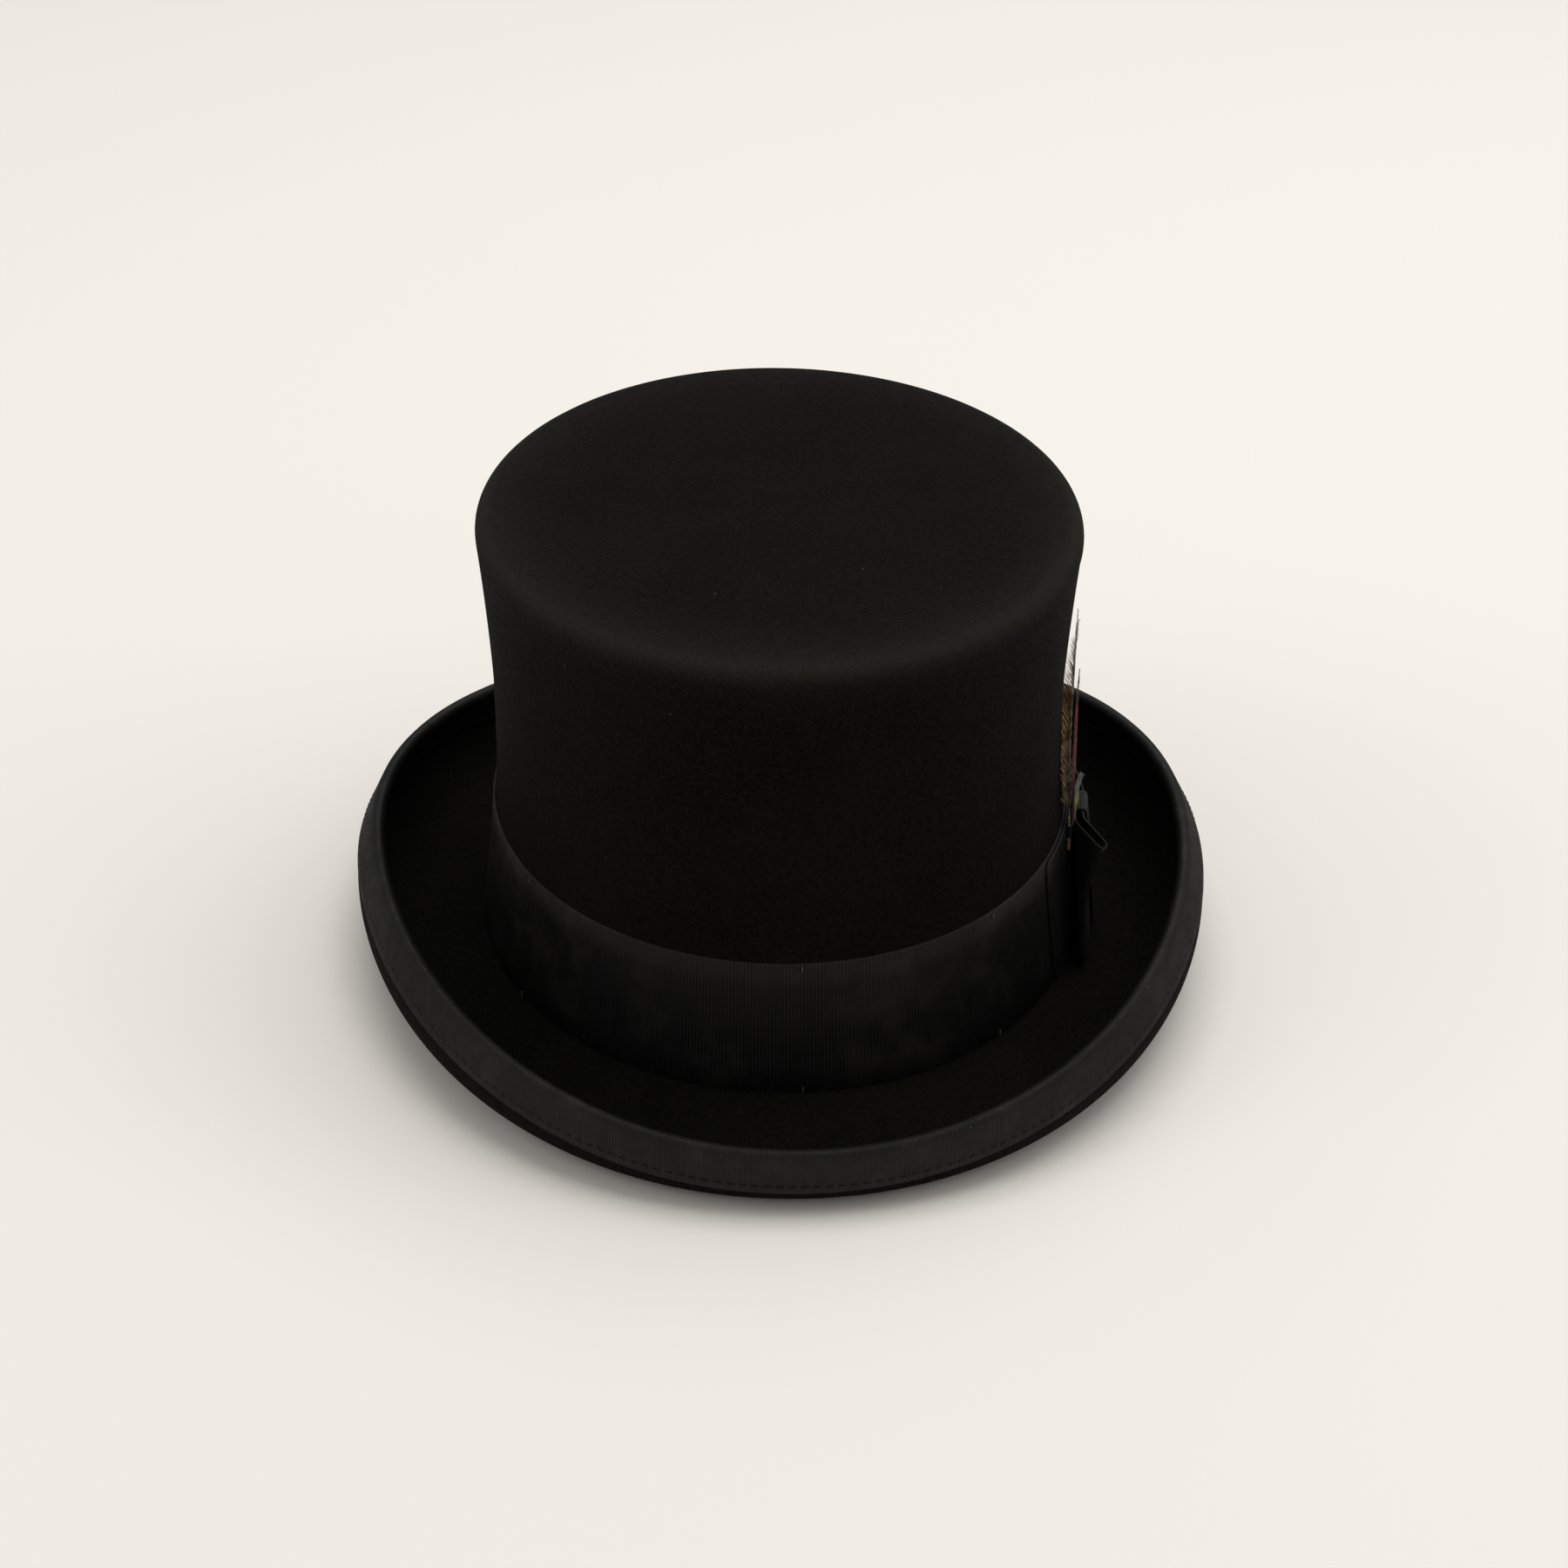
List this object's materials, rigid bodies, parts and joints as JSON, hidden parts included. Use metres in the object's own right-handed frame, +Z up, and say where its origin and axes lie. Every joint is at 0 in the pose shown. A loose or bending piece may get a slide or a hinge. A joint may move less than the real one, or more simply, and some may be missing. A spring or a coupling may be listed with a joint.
{
  "type": "top hat",
  "caption": "Black fur-felt top hat with a rolled, ribbon-bound brim, a ribbed hat band, a side bow and a feather mount that pulls out.",
  "frame": {"origin": "under the middle of the hat, on the plane that the brim's front and back rest on", "axes": "+Z up through the crown, the front of the hat faces -Y, the wearer's left (bow and feather) is +X"},
  "size_m": [0.2454, 0.3018, 0.1345],
  "materials": {
    "fur_felt": "short brushed nap, matt",
    "grosgrain": "ribbed ribbon, low sheen",
    "thread": "twisted sewing thread",
    "grey_feather": "soft grey down",
    "tan_feather": "barred tan vane",
    "red_feather": "dark red vane",
    "blue_grey_feather": "thin translucent vane",
    "yellow_hackle": "loose fibres",
    "sweat_leather": "dressed roan, low gloss",
    "reed_plastic": "smooth cord",
    "seam_tape": "flat woven tape",
    "small_ribbon": "narrow satin ribbon",
    "tag_leather": "smooth, blank",
    "satin": "silk satin, soft sheen"
  },
  "bodies": {
    "hat": {"felt_body": "fur_felt", "brim_binding": "grosgrain", "binding_thread": "thread", "hat_band": "grosgrain", "tack_stitches": "thread", "bow_backing": "grosgrain", "bow_loops": "grosgrain", "bow_keeper": "grosgrain", "sweatband": "sweat_leather", "sweatband_reed": "reed_plastic", "sweatband_seam": "seam_tape", "sweatband_bow": "small_ribbon", "size_tag": "tag_leather", "lining_side": "satin", "lining_tip": "satin"},
    "feather_mount": {"feather_down": "grey_feather", "feather_tan": "tan_feather", "feather_red": "red_feather", "feather_grey": "blue_grey_feather", "hackle_tuft": "yellow_hackle", "quill_whipping": "thread"}
  },
  "joints": [
    {"name": "feather_pull", "type": "slide", "parent": "hat", "child": "feather_mount", "axis": [0.0464, 0.3223, 0.9455], "range_m": [0, 0.022]}
  ]
}
